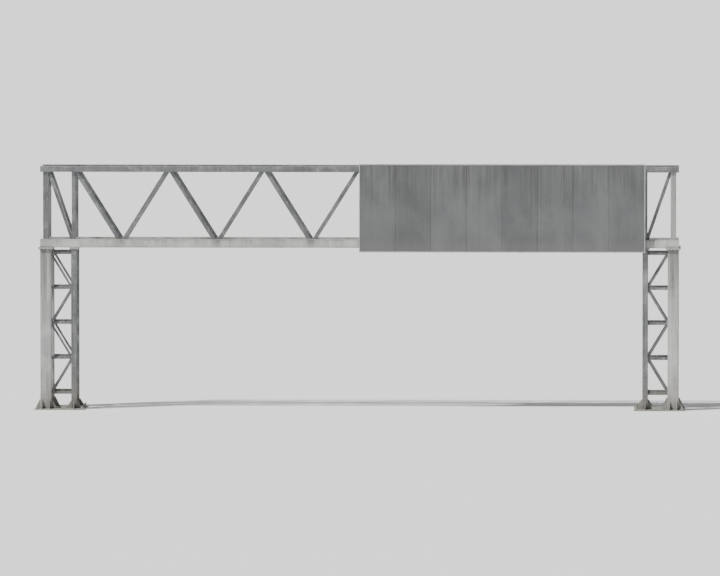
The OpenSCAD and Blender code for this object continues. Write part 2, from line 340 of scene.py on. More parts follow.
class Tree:
    """A node material with a Principled shader, and short ways to feed it."""

    def __init__(self, name):
        self.mat = bpy.data.materials.new(name)
        self.mat.use_nodes = True
        self.nt = self.mat.node_tree
        self.nt.nodes.clear()
        out = self.nt.nodes.new("ShaderNodeOutputMaterial")
        self.bsdf = self.nt.nodes.new("ShaderNodeBsdfPrincipled")
        self.nt.links.new(self.bsdf.outputs[0], out.inputs[0])
        self.obj = self.nt.nodes.new("ShaderNodeTexCoord").outputs["Object"]
        geo = self.nt.nodes.new("ShaderNodeNewGeometry")
        self.island = geo.outputs["Random Per Island"]
        self.x, self.y, self.z = self.split(self.obj)
        self.nx, self.ny, self.nz = self.split(geo.outputs["Normal"])

    def put(self, socket, value):
        if isinstance(value, bpy.types.NodeSocket):
            self.nt.links.new(value, socket)
        else:
            if socket.type == "RGBA" and len(value) == 3:
                value = (*value, 1.0)
            socket.default_value = value

    def split(self, vector):
        n = self.nt.nodes.new("ShaderNodeSeparateXYZ")
        self.put(n.inputs[0], vector)
        return n.outputs[0], n.outputs[1], n.outputs[2]

    def math(self, op, a, b=0.0, c=0.0, clamp=False):
        n = self.nt.nodes.new("ShaderNodeMath")
        n.operation, n.use_clamp = op, clamp
        self.put(n.inputs[0], a)
        self.put(n.inputs[1], b)
        if op in ("MULTIPLY_ADD", "SMOOTH_MIN", "SMOOTH_MAX", "COMPARE"):
            self.put(n.inputs[2], c)
        return n.outputs[0]

    def times(self, *values):
        made = values[0]
        for v in values[1:]:
            made = self.math("MULTIPLY", made, v)
        return made

    def scaled(self, vector, by):
        n = self.nt.nodes.new("ShaderNodeVectorMath")
        n.operation = "MULTIPLY"
        self.put(n.inputs[0], vector)
        n.inputs[1].default_value = by
        return n.outputs[0]

    def noise(self, vector, scale, detail=4.0, rough=0.55, warp=0.0):
        n = self.nt.nodes.new("ShaderNodeTexNoise")
        self.put(n.inputs["Vector"], vector)
        n.inputs["Scale"].default_value = scale
        n.inputs["Detail"].default_value = detail
        n.inputs["Roughness"].default_value = rough
        n.inputs["Distortion"].default_value = warp
        return n.outputs[0]

    def cells(self, vector, scale, jitter=1.0):
        """A different random value in each cell."""
        n = self.nt.nodes.new("ShaderNodeTexVoronoi")
        self.put(n.inputs["Vector"], vector)
        n.inputs["Scale"].default_value = scale
        n.inputs["Randomness"].default_value = jitter
        bw = self.nt.nodes.new("ShaderNodeSeparateColor")
        self.nt.links.new(n.outputs["Color"], bw.inputs[0])
        return bw.outputs[0]

    def step(self, value, low, high, to_low=0.0, to_high=1.0):
        """A smooth step from low to high."""
        n = self.nt.nodes.new("ShaderNodeMapRange")
        n.interpolation_type = "SMOOTHSTEP"
        self.put(n.inputs["Value"], value)
        if low > high:
            low, high, to_low, to_high = high, low, to_high, to_low
        n.inputs["From Min"].default_value = low
        n.inputs["From Max"].default_value = high
        n.inputs["To Min"].default_value = to_low
        n.inputs["To Max"].default_value = to_high
        return n.outputs[0]

    def mix(self, fac, a, b, how="MIX"):
        n = self.nt.nodes.new("ShaderNodeMix")
        n.data_type, n.blend_type, n.clamp_factor = "RGBA", how, True
        self.put(n.inputs[0], fac)
        self.put(n.inputs[6], a)
        self.put(n.inputs[7], b)
        return n.outputs[2]

    def lighten(self, colour, value):
        """colour times a number."""
        n = self.nt.nodes.new("ShaderNodeVectorMath")
        n.operation = "SCALE"
        self.put(n.inputs[0], colour)
        self.put(n.inputs["Scale"], value)
        return n.outputs[0]

    def corners(self, distance, samples=6):
        """1 where the surface is closed in by its neighbours, 0 in the open."""
        n = self.nt.nodes.new("ShaderNodeAmbientOcclusion")
        n.samples = samples
        n.inputs["Distance"].default_value = distance
        return self.math("SUBTRACT", 1.0, n.outputs["AO"])

    def bump(self, *layers):
        """Each layer is (height, distance in metres)."""
        last = None
        for height, distance in layers:
            n = self.nt.nodes.new("ShaderNodeBump")
            n.inputs["Strength"].default_value = 1.0
            n.inputs["Distance"].default_value = distance
            self.put(n.inputs["Height"], height)
            if last is not None:
                self.nt.links.new(last, n.inputs["Normal"])
            last = n.outputs[0]
        self.nt.links.new(last, self.bsdf.inputs["Normal"])

    def finish(self, colour, roughness, metallic=0.0, ior=1.45):
        self.put(self.bsdf.inputs["Base Color"], colour)
        self.put(self.bsdf.inputs["Roughness"], roughness)
        self.put(self.bsdf.inputs["Metallic"], metallic)
        self.bsdf.inputs["IOR"].default_value = ior
        return self.mat


def weather(t, colour, rough, foot=True, dirt=(0.185, 0.172, 0.148), streaks=0.74, fall=None):
    """Rain streaks, dust on top faces, painted shade in corners and on undersides, and dirt splashed on the
    foot. fall is the level where the streaks start and how far down they run."""
    patch = t.noise(t.obj, 3.1, 6.0, 0.66)
    wide = t.noise(t.scaled(t.obj, (4.2, 4.2, 0.18)), 1.0, 4.0, 0.6, 0.2)
    thin = t.noise(t.scaled(t.obj, (17.0, 17.0, 0.42)), 1.0, 4.0, 0.64)
    fine = t.noise(t.scaled(t.obj, (41.0, 41.0, 0.9)), 1.0, 3.0, 0.6)
    where = t.noise(t.scaled(t.obj, (0.8, 0.8, 0.30)), 1.0, 4.0, 0.66)
    upright = t.step(t.math("ABSOLUTE", t.nz), 0.5, 0.2)
    clusters = t.step(where, 0.38, 0.60, 0.20, 1.0)
    wet = t.math("MULTIPLY_ADD", wide, 0.55, t.math("MULTIPLY", thin, 0.45))
    run = t.times(t.step(wet, 0.455, 0.55), t.step(fine, 0.36, 0.60, 0.40, 1.0), clusters, upright)
    if fall:
        # runs start at the upper edge and end at different levels
        level = t.math("MULTIPLY_ADD", t.math("SUBTRACT", thin, 0.5), -2.2 * fall[1], t.z)
        run = t.times(run, t.step(level, fall[0] - fall[1], fall[0], 0.25, 1.0))
    colour = t.mix(t.times(run, streaks), colour, t.mix(0.5, t.lighten(colour, 0.32), (0.085, 0.080, 0.071)))
    # thin clean lines where the water ran hardest
    clean = t.times(t.step(t.noise(t.scaled(t.obj, (26.0, 26.0, 0.5)), 1.0, 3.0, 0.6), 0.60, 0.70), clusters, upright)
    colour = t.mix(t.times(clean, 0.22), colour, t.lighten(colour, 1.55))
    rough = t.math("MULTIPLY_ADD", run, 0.14, rough)
    top = t.times(t.step(t.nz, 0.45, 0.85), t.step(patch, 0.30, 0.62, 0.35, 1.0))
    colour = t.mix(t.times(top, 0.6), colour, (0.235, 0.226, 0.20))
    moss = t.times(t.step(t.nz, 0.45, 0.85), t.step(t.noise(t.obj, 12.0, 6.0, 0.7), 0.58, 0.70))
    colour = t.mix(t.times(moss, 0.5), colour, (0.115, 0.118, 0.088))
    # painted shade: faces that look down are darkened
    under = t.times(t.step(t.nz, -0.55, -0.9), t.step(patch, 0.30, 0.66, 0.3, 1.0))
    colour = t.mix(t.times(under, 0.5), colour, (0.11, 0.108, 0.102))
    # painted shade: colour darkened in corners and crevices, where the surroundings close in
    corner_shade = t.times(t.step(t.corners(0.16), 0.25, 0.66), t.step(patch, 0.28, 0.58, 0.5, 1.0))
    colour = t.mix(t.times(corner_shade, 0.7), colour, (0.085, 0.079, 0.070))
    rough = t.math("MULTIPLY_ADD", top, 0.22, rough)
    if foot:
        ragged = t.math("MULTIPLY_ADD", t.noise(t.scaled(t.obj, (4, 4, 1.2)), 1.0, 5.0, 0.7), 1.5,
                        t.math("MULTIPLY", t.z, 0.62))
        low = t.step(ragged, 1.78, 0.82)
        spots = t.math("MULTIPLY", t.step(t.noise(t.obj, 15.0, 8.0, 0.80), 0.36, 0.60),
                       t.step(t.noise(t.obj, 88.0, 4.0, 0.70), 0.30, 0.62, 0.45, 1.0))
        colour = t.mix(t.times(low, t.math("MULTIPLY_ADD", spots, 0.42, 0.46)), colour, dirt)
        rough = t.math("MULTIPLY_ADD", low, 0.25, rough)
    return colour, t.math("MINIMUM", rough, 0.95)


def rust(t, colour, rough, amount=1.0, scale=9.0, cut=0.70):
    """Rust spots with a brown bleed below them, and brown seeping from joints."""
    spot = t.noise(t.obj, scale, 7.0, 0.72)
    bleed = t.noise(t.scaled(t.obj, (scale * 1.6, scale * 1.6, scale * 0.12)), 1.0, 3.0, 0.6)
    mask = t.step(spot, cut, cut + 0.05)
    brown = t.mix(t.step(t.noise(t.obj, 60.0, 3.0), 0.35, 0.65), (0.085, 0.030, 0.013), (0.23, 0.092, 0.036))
    tint = t.mix(0.5, t.lighten(colour, 0.8), (0.26, 0.13, 0.065))
    colour = t.mix(t.times(t.step(bleed, cut - 0.08, cut + 0.06), 0.55 * amount), colour, tint)
    seep = t.times(t.step(t.corners(0.05, 4), 0.45, 0.8), t.step(t.noise(t.obj, 5.5, 5.0, 0.7), 0.55, 0.66))
    colour = t.mix(t.times(seep, 0.65 * amount), colour, (0.16, 0.072, 0.034))
    colour = t.mix(t.times(mask, amount), colour, brown)
    return colour, t.math("MAXIMUM", rough, t.times(mask, 0.85)), mask


def paint(name, low, high, foot=True, joints=False, top_shade_and_runs=False):
    """Light grey paint over steel: chalked, streaked, gritty at its foot."""
    t = Tree(name)
    cloud = t.noise(t.obj, 0.75, 6.0, 0.6, 0.4)
    mottle = t.noise(t.obj, 11.0, 5.0, 0.6)
    colour = t.mix(t.step(cloud, 0.36, 0.64), low, high)
    # touched-up patches with a clear edge
    lap = t.step(t.noise(t.scaled(t.obj, (1.6, 1.6, 0.8)), 1.0, 3.0, 0.5, 0.6), 0.565, 0.575)
    colour = t.lighten(colour, t.math("MULTIPLY_ADD", lap, 0.07, 0.98))
    colour = t.lighten(colour, t.math("MULTIPLY_ADD", mottle, 0.16, 0.92))
    colour = t.lighten(colour, t.math("MULTIPLY_ADD", t.island, 0.05, 0.975))
    rough = t.math("MULTIPLY_ADD", mottle, 0.22, t.math("MULTIPLY_ADD", lap, -0.08, 0.38))
    if top_shade_and_runs:
        # the posts grow darker towards the top: painted shade for less light up there, with dirt run off the boom
        broad = t.noise(t.scaled(t.obj, (3.1, 3.1, 0.12)), 1.0, 3.0, 0.55)
        tails = t.noise(t.scaled(t.obj, (29.0, 29.0, 0.26)), 1.0, 5.0, 0.72)
        reach = t.math("MULTIPLY_ADD", t.math("SUBTRACT", broad, 0.5), 7.0,
                       t.math("MULTIPLY_ADD", t.math("SUBTRACT", tails, 0.5), 4.5, t.z))
        grey = t.times(t.step(reach, 3.4, 6.1), t.step(t.math("ABSOLUTE", t.nz), 0.5, 0.2))
        colour = t.mix(t.times(grey, 0.80), colour, (0.145, 0.143, 0.136))
        # a thin dark run under each bolt row and plate corner
        drop = t.step(t.noise(t.scaled(t.obj, (52.0, 52.0, 0.14)), 1.0, 2.0, 0.5), 0.63, 0.68)
        short = t.step(t.math("MULTIPLY_ADD", t.math("SUBTRACT", broad, 0.5), 4.0, t.z), 4.3, 5.6)
        colour = t.mix(t.times(drop, short, 0.55), colour, (0.10, 0.092, 0.080))
        rough = t.math("MULTIPLY_ADD", grey, 0.16, rough)
    if joints:
        # water off the diagonals leaves a mark under each of their meeting points
        along = t.math("ABSOLUTE", t.math("SUBTRACT", t.math("FRACT", t.math("MULTIPLY", t.x, 1 / BAY)), 0.5))
        tails = t.noise(t.scaled(t.obj, (22.0, 22.0, 0.8)), 1.0, 4.0, 0.66)
        near = t.step(t.math("MULTIPLY_ADD", t.math("SUBTRACT", tails, 0.5), 0.16, along), 0.085, 0.015)
        mark = t.times(near, t.step(t.math("MULTIPLY_ADD", tails, 0.28, t.z), 5.92, 6.16, 0.35, 1.0))
        colour = t.mix(t.times(mark, 0.72), colour, (0.145, 0.14, 0.128))
        # grime along the upper edge, and a drip line along the lower one
        ragged = t.math("MULTIPLY_ADD", t.math("SUBTRACT", tails, 0.5), 0.12, t.z)
        band = t.math("MAXIMUM", t.step(ragged, 6.045, 6.085), t.step(ragged, 5.852, 5.822))
        patchy = t.step(t.noise(t.obj, 1.7, 4.0, 0.6), 0.34, 0.60, 0.35, 1.0)
        colour = t.mix(t.times(band, patchy, 0.55), colour, (0.17, 0.165, 0.15))
    colour, rough = weather(t, colour, rough, foot, fall=(6.1, 0.26) if joints else None)
    colour, rough, spots = rust(t, colour, rough, 0.85, 6.0, 0.715)
    # specks of grit, and chips down to the zinc under the paint
    speck = t.step(t.noise(t.obj, 130.0, 3.0, 0.65), 0.655, 0.70)
    colour = t.mix(t.times(speck, 0.5), colour, (0.10, 0.095, 0.085))
    chip = t.times(t.step(t.noise(t.obj, 47.0, 4.0, 0.6), 0.70, 0.712), t.step(t.noise(t.obj, 2.4, 3.0, 0.6), 0.50, 0.58))
    colour = t.mix(t.times(chip, 0.85), colour, (0.205, 0.21, 0.215))
    peel = t.noise(t.obj, 210.0, 2.0, 0.5)
    plate = t.noise(t.obj, 3.4, 2.0, 0.5)
    t.bump((plate, 0.0035), (peel, 0.0006), (t.math("SUBTRACT", mottle, t.math("MULTIPLY_ADD", chip, 0.25, t.times(spots, 0.4))), 0.0016))
    return t.finish(colour, rough, 0.0, 1.5)


def galvanised(name, low, high, metallic=0.5, foot=True, spread=0.34):
    """Hot-dip zinc gone dull: spangle, pale bloom, each bar its own grey."""
    t = Tree(name)
    cloud = t.noise(t.obj, 1.3, 6.0, 0.62, 0.5)
    crystal = t.math("MULTIPLY_ADD", t.cells(t.obj, 34.0), 0.72, t.math("MULTIPLY", t.cells(t.obj, 92.0), 0.28))
    grain = t.noise(t.obj, 85.0, 3.0, 0.6)
    colour = t.mix(t.step(cloud, 0.28, 0.72), low, high)
    colour = t.lighten(colour, t.math("MULTIPLY_ADD", crystal, 0.26, 0.87))
    colour = t.lighten(colour, t.math("MULTIPLY_ADD", t.island, spread, 1.0 - spread / 2))
    bloom = t.times(t.step(t.noise(t.obj, 5.2, 7.0, 0.72), 0.53, 0.64), t.step(grain, 0.3, 0.6, 0.55, 1.0))
    colour = t.mix(t.times(bloom, 0.42), colour, (0.40, 0.405, 0.41))
    dull = t.step(t.noise(t.obj, 2.3, 5.0, 0.65), 0.55, 0.62)
    colour = t.mix(t.times(dull, 0.30), colour, t.lighten(colour, 0.62))
    rough = t.math("MULTIPLY_ADD", crystal, 0.14, t.math("MULTIPLY_ADD", grain, 0.14, 0.36))
    rough = t.math("MULTIPLY_ADD", bloom, 0.20, rough)
    colour, rough = weather(t, colour, rough, foot, streaks=0.48)
    colour, rough, spots = rust(t, colour, rough, 0.75, 7.0, 0.72)
    metal = t.times(t.math("SUBTRACT", 1.0, t.times(bloom, 0.5)), t.math("SUBTRACT", 1.0, spots), metallic)
    t.bump((t.noise(t.obj, 4.0, 2.0), 0.0025), (crystal, 0.0004), (grain, 0.0008))
    return t.finish(colour, rough, metal, 1.5)


def sheet_front(name):
    """The blank face of the sign: satin grey film on sheet, with rain marks."""
    t = Tree(name)
    tray = t.math("FLOOR", t.math("MULTIPLY", t.math("SUBTRACT", t.x, 0.027), 1 / (SHEET_W + SHEET_GAP)))
    own = t.nt.nodes.new("ShaderNodeTexWhiteNoise")
    own.noise_dimensions = "1D"
    t.put(own.inputs["W"], tray)
    cloud = t.noise(t.scaled(t.obj, (0.8, 1.0, 0.5)), 1.0, 5.0, 0.6, 0.6)
    colour = t.mix(t.step(cloud, 0.32, 0.68), (0.095, 0.098, 0.101), (0.130, 0.133, 0.136))
    colour = t.lighten(colour, t.math("MULTIPLY_ADD", own.outputs["Value"], 0.20, 0.90))
    # film laid in level bands that meet with a hairline
    band = t.math("FRACT", t.math("MULTIPLY", t.math("SUBTRACT", t.z, 5.68), 1 / 1.03))
    seam = t.step(t.math("ABSOLUTE", t.math("SUBTRACT", band, 0.5)), 0.4965, 0.4985)
    colour = t.mix(t.times(seam, 0.5), colour, (0.07, 0.07, 0.07))
    wide = t.noise(t.scaled(t.obj, (3.6, 1.0, 0.12)), 1.0, 4.0, 0.6, 0.2)
    thin = t.noise(t.scaled(t.obj, (14.0, 1.0, 0.30)), 1.0, 5.0, 0.66)
    fine = t.noise(t.scaled(t.obj, (52.0, 1.0, 0.75)), 1.0, 4.0, 0.62)
    where = t.noise(t.scaled(t.obj, (0.9, 1.0, 0.40)), 1.0, 4.0, 0.66)
    wet = t.math("MULTIPLY_ADD", wide, 0.5, t.math("MULTIPLY", thin, 0.5))
    # runs start under the top trim and end at different levels
    level = t.math("MULTIPLY_ADD", t.math("SUBTRACT", thin, 0.5), -4.5, t.z)
    fade = t.step(level, 6.3, 8.7, 0.25, 1.0)
    run = t.times(t.step(wet, 0.455, 0.575), t.step(fine, 0.36, 0.60, 0.38, 1.0),
                  t.step(where, 0.36, 0.60, 0.30, 1.0), fade)
    colour = t.mix(t.times(run, 0.62), colour, (0.042, 0.040, 0.037))
    # short dark drips off the trim's edge, and dried spots
    drip = t.times(t.step(t.noise(t.scaled(t.obj, (64.0, 1.0, 0.22)), 1.0, 2.0, 0.5), 0.60, 0.66),
                   t.step(t.math("MULTIPLY_ADD", t.math("SUBTRACT", wide, 0.5), 3.0, t.z), 7.9, 8.75))
    colour = t.mix(t.times(drip, 0.45), colour, (0.040, 0.038, 0.035))
    speck = t.step(t.noise(t.obj, 115.0, 3.0, 0.65), 0.66, 0.70)
    colour = t.mix(t.times(speck, 0.35), colour, (0.055, 0.053, 0.049))
    pale = t.times(t.step(t.noise(t.scaled(t.obj, (9.0, 1.0, 0.22)), 1.0, 5.0, 0.7), 0.58, 0.78), 0.22)
    colour = t.mix(pale, colour, (0.26, 0.26, 0.25))
    low = t.step(t.math("MULTIPLY_ADD", cloud, 0.5, t.z), 6.45, 5.85)
    colour = t.mix(t.times(low, 0.28), colour, (0.19, 0.182, 0.165))
    dust = t.noise(t.obj, 40.0, 4.0, 0.65)
    colour = t.lighten(colour, t.math("MULTIPLY_ADD", dust, 0.10, 0.95))
    # painted shade: darker in the corners and recesses of the face
    corner_shade = t.step(t.corners(0.05, 4), 0.45, 0.9)
    colour = t.mix(t.times(corner_shade, 0.5), colour, (0.11, 0.107, 0.10))
    rough = t.math("MULTIPLY_ADD", dust, 0.20, t.math("MULTIPLY_ADD", run, 0.18, 0.30))
    t.bump((t.noise(t.scaled(t.obj, (1.1, 1.0, 0.7)), 1.6, 2.0), 0.006), (dust, 0.0005), (seam, -0.0004))
    return t.finish(colour, rough, 0.0, 1.46)


def aluminium(name, low, high, along="x", metallic=0.85, foot=False):
    """Mill-finish aluminium: faint lines along its length, dull oxide."""
    t = Tree(name)
    stretch = {"x": (0.7, 160.0, 160.0), "z": (160.0, 160.0, 0.7), "all": (60.0, 60.0, 60.0)}[along]
    lines = t.noise(t.scaled(t.obj, stretch), 1.0, 3.0, 0.6)
    cloud = t.noise(t.obj, 2.2, 6.0, 0.62, 0.5)
    oxide = t.step(t.noise(t.obj, 7.5, 7.0, 0.7), 0.50, 0.70)
    colour = t.mix(t.step(cloud, 0.30, 0.70), low, high)
    colour = t.lighten(colour, t.math("MULTIPLY_ADD", lines, 0.12, 0.94))
    colour = t.lighten(colour, t.math("MULTIPLY_ADD", t.island, 0.07, 0.965))
    colour = t.mix(t.times(oxide, 0.30), colour, (0.44, 0.445, 0.45))
    # grime that clings in blotches, and specks
    blotch = t.times(t.step(t.noise(t.obj, 18.0, 5.0, 0.7), 0.52, 0.64), t.step(cloud, 0.36, 0.60, 0.30, 1.0))
    colour = t.mix(t.times(blotch, 0.34), colour, (0.20, 0.195, 0.182))
    speck = t.step(t.noise(t.obj, 125.0, 3.0, 0.65), 0.65, 0.70)
    colour = t.mix(t.times(speck, 0.4), colour, (0.12, 0.115, 0.105))
    rough = t.math("MULTIPLY_ADD", lines, 0.12, t.math("MULTIPLY_ADD", oxide, 0.20, 0.34))
    colour, rough = weather(t, colour, rough, foot, streaks=0.46)
    metal = t.math("SUBTRACT", metallic, t.times(oxide, 0.35))
    t.bump((cloud, 0.002), (lines, 0.00025))
    return t.finish(colour, rough, metal, 1.5)


def fixing(name, low, high, rusty=0.5):
    """Zinc-plated nuts, bolts and straps, each a shade of its own."""
    t = Tree(name)
    grain = t.noise(t.obj, 180.0, 4.0, 0.6)
    stain = t.noise(t.obj, 34.0, 5.0, 0.68)
    colour = t.mix(t.step(t.noise(t.obj, 16.0, 4.0), 0.34, 0.66), low, high)
    colour = t.lighten(colour, t.math("MULTIPLY_ADD", t.island, 0.26, 0.87))
    spots = t.times(t.step(t.math("MULTIPLY_ADD", t.island, 0.16, stain), 0.62, 0.74), rusty)
    colour = t.mix(spots, colour, (0.20, 0.085, 0.038))
    # painted shade: darker in the corners round heads, nuts and washers
    corner_shade = t.step(t.corners(0.03, 4), 0.45, 0.9)
    colour = t.mix(t.times(corner_shade, 0.6), colour, (0.10, 0.085, 0.07))
    rough = t.math("MULTIPLY_ADD", grain, 0.22, t.math("MULTIPLY_ADD", spots, 0.35, 0.32))
    metal = t.math("MULTIPLY_ADD", spots, -0.8, 0.85)
    t.bump((stain, 0.0008), (grain, 0.0004))
    return t.finish(colour, rough, metal, 1.5)


PAINT = (0.325, 0.329, 0.325), (0.475, 0.478, 0.47)
ZINC = (0.130, 0.135, 0.140), (0.215, 0.220, 0.225)


def rubber(name):
    t = Tree(name)
    grit = t.noise(t.obj, 120.0, 4.0, 0.6)
    bleached = t.noise(t.scaled(t.obj, (1.0, 1.0, 2.2)), 1.0, 4.0, 0.6)
    colour = t.mix(t.step(bleached, 0.35, 0.65), (0.022, 0.022, 0.023), (0.062, 0.061, 0.058))
    colour = t.lighten(colour, t.math("MULTIPLY_ADD", grit, 0.4, 0.8))
    t.bump((grit, 0.0005))
    return t.finish(colour, t.math("MULTIPLY_ADD", grit, 0.25, 0.62))


SEAL = rubber("seal_rubber")
POST_PAINT = paint("post_paint", *PAINT, top_shade_and_runs=True)
LIGHT_PAINT = paint("light_paint", *PAINT)
# a darker copy of the posts' paint for the uprights over them: painted shade
SHADED_UPRIGHT_PAINT = paint("upright_paint_shaded", (0.220, 0.223, 0.219), (0.325, 0.328, 0.320), foot=False)
BOOM_PAINT = paint("boom_paint", *PAINT, foot=False, joints=True)
GREY_STEEL = galvanised("grey_steel", *ZINC)
BOOM_STEEL = galvanised("boom_steel", *ZINC, foot=False)
SIGN_STEEL = galvanised("sign_steel", (0.20, 0.205, 0.21), (0.30, 0.305, 0.31), foot=False)
SHEET_FACE = sheet_front("sheet_face")
SHEET_BACK = aluminium("sheet_back", (0.46, 0.465, 0.47), (0.56, 0.565, 0.57), "all", 0.6)
ALU_X = aluminium("bare_aluminium", (0.41, 0.415, 0.42), (0.54, 0.545, 0.55), "x")
ALU_Z = aluminium("bare_aluminium_upright", (0.41, 0.415, 0.42), (0.54, 0.545, 0.55), "z")
BOLTS = fixing("zinc_bolts", (0.44, 0.445, 0.45), (0.58, 0.58, 0.57))
ANCHORS = fixing("anchor_bolts_zinc", (0.36, 0.36, 0.355), (0.50, 0.495, 0.48), 0.85)

FINISH = {
    "front_base_plate": LIGHT_PAINT, "rear_base_plate": LIGHT_PAINT,
    "base_stiffeners": LIGHT_PAINT, "outer_posts": POST_PAINT,
    "inner_posts": GREY_STEEL, "bearing_plates": BOOM_PAINT,
    "side_rungs": GREY_STEEL, "side_slants": GREY_STEEL,
    "cross_rungs": GREY_STEEL, "cross_slants": GREY_STEEL,
    "chord_end_caps": BOOM_PAINT, "end_verticals": BOOM_STEEL,
    "corner_braces": BOOM_STEEL, "end_cross_braces": BOOM_STEEL,
}
for part, finish in FINISH.items():
    for side in ("left", "right"):
        NODES[f"{side}_{part}"].data.materials.clear()
        NODES[f"{side}_{part}"].data.materials.append(finish)
for part, finish in {
    "front_bottom_chord": BOOM_PAINT, "rear_bottom_chord": BOOM_PAINT,
    "front_top_chord": BOOM_STEEL, "rear_top_chord": BOOM_STEEL,
    "front_diagonals": BOOM_STEEL, "rear_diagonals": BOOM_STEEL,
    "top_struts": BOOM_STEEL, "top_lacing": BOOM_STEEL,
    "bottom_struts": BOOM_PAINT, "bottom_lacing": BOOM_PAINT,
    "sign_sheets": SHEET_FACE, "sign_long_trims": ALU_X,
    "sign_side_trims": ALU_Z, "sign_rails": ALU_X,
    "sign_posts": SIGN_STEEL, "upper_sign_brackets": SIGN_STEEL,
    "lower_sign_brackets": SIGN_STEEL,
}.items():
    NODES[part].data.materials.clear()
    NODES[part].data.materials.append(finish)


# ----------------------------------------------------------------- the feet

def put_bolt(piece, at, way, across, head, washer_r, washer_t, slot=0):
    """A hexagon head on its washer, standing on a face that looks that way."""
    turn = turned(way, rng.uniform(0, math.pi / 3))
    piece.add(washer(across * 0.33, washer_r, washer_t), at, turn, slot)
    piece.add(bolt_head(across, head), np.array(at) + np.array(way) * washer_t, turn, slot)


def put_nut(piece, at, way, across, high, washer_r, washer_t, rod_r, tail, slot=0):
    """A nut on its washer with the bolt's end standing out of it."""
    way = np.array(way, float)
    turn = turned(way, rng.uniform(0, math.pi / 3))
    piece.add(washer(rod_r, washer_r, washer_t), at, turn, slot)
    piece.add(nut(across, high, rod_r * 0.97), np.array(at) + way * washer_t, turn, slot)
    piece.add(rod(rod_r * 0.96, washer_t * 0.5, washer_t + high + tail, rod_r * 0.2, 16), at, turn, slot)


ANCHOR = {
    "washer": washer(0.0215, 0.044, 0.008),
    "nut": nut(0.065, 0.034, 0.0190),
    "lock": nut(0.065, 0.021, 0.0190),
    "core": rod(0.0190, 0.002, 0.137, 0.004, 22),
    "thread": thread(0.0190, 0.0210, 0.0045, 0.099, 0.1335),
}


def anchors(sign):
    piece = Piece()
    for y in (-YF, YF):
        for sx in (-1, 1):
            for sy in (-1, 1):
                at = np.array((sign * PLATE_X + sx * ANCHOR_X, y + sy * ANCHOR_Y, 0.0))
                spin = [turned((0, 0, 1), rng.uniform(0, math.pi)) for _ in range(3)]
                piece.add(ANCHOR["washer"], at + (0, 0, PLATE_T), spin[0])
                piece.add(ANCHOR["nut"], at + (0, 0, PLATE_T + 0.008), spin[0])
                piece.add(ANCHOR["lock"], at + (0, 0, PLATE_T + 0.0422), spin[1])
                piece.add(ANCHOR["core"], at, spin[2])
                piece.add(ANCHOR["thread"], at, spin[2])
    return piece


for sign, side in ((-1, "left"), (1, "right")):
    anchors(sign).make(f"{side}_anchor_bolts", [ANCHORS], "grey_steel")


def foot_welds(sign):
    """Welds of posts and stiffener fins on the base plates."""
    piece, mirror = Piece(), sign < 0
    for y in (-YF, YF):
        for x, w, r, off, rise, leg in ((XO, POST, 0.028, (-0.13, 0.13), 0.32, 0.012),
                                        (XI, INNER, 0.016, (0.0,), 0.26, 0.010)):
            end_bead(piece, (x, y, 1.0), (0, 0, -1), (1, 0, 0), (0, 1, 0), w, w, r,
                     [((0, 0, PLATE_T), (0, 0, 1))], leg, mirror, 0.015)
            for a in range(4):
                c, s = (1, 0, -1, 0)[a], (0, 1, 0, -1)[a]
                out, side_way = np.array((c, s, 0.0)), np.array((-s, c, 0.0))
                for o in off:
                    foot = np.array((x, y, PLATE_T)) + out * w / 2 + side_way * o
                    for k in (-1, 1):
                        edge = foot + side_way * 0.008 * k
                        line_bead(piece, edge + out * 0.004, edge + out * 0.168, side_way * k,
                                  (0, 0, 1), 0.007, mirror)
                        line_bead(piece, edge + (0, 0, 0.006), edge + (0, 0, rise - 0.004),
                                  side_way * k, out, 0.007, mirror)
    return piece


for sign, side in ((-1, "left"), (1, "right")):
    foot_welds(sign).make(f"{side}_foot_welds", [LIGHT_PAINT], "light_paint", 60)


# ----------------------------------------------------------------- the legs

def slant_ends(piece, a, b, side_axis, w, r, planes, leg, mirror=False):
    """Both end welds of a slanting bar from a to b, inside its window."""
    a, b, side_axis = (np.array(p, float) for p in (a, b, side_axis))
    d = (b - a) / np.linalg.norm(b - a)
    v = np.cross(d, side_axis)
    middle = (a + b) / 2
    for way in (1, -1):
        end_bead(piece, middle, d * way, side_axis, v, w, w, r, planes, leg, mirror)


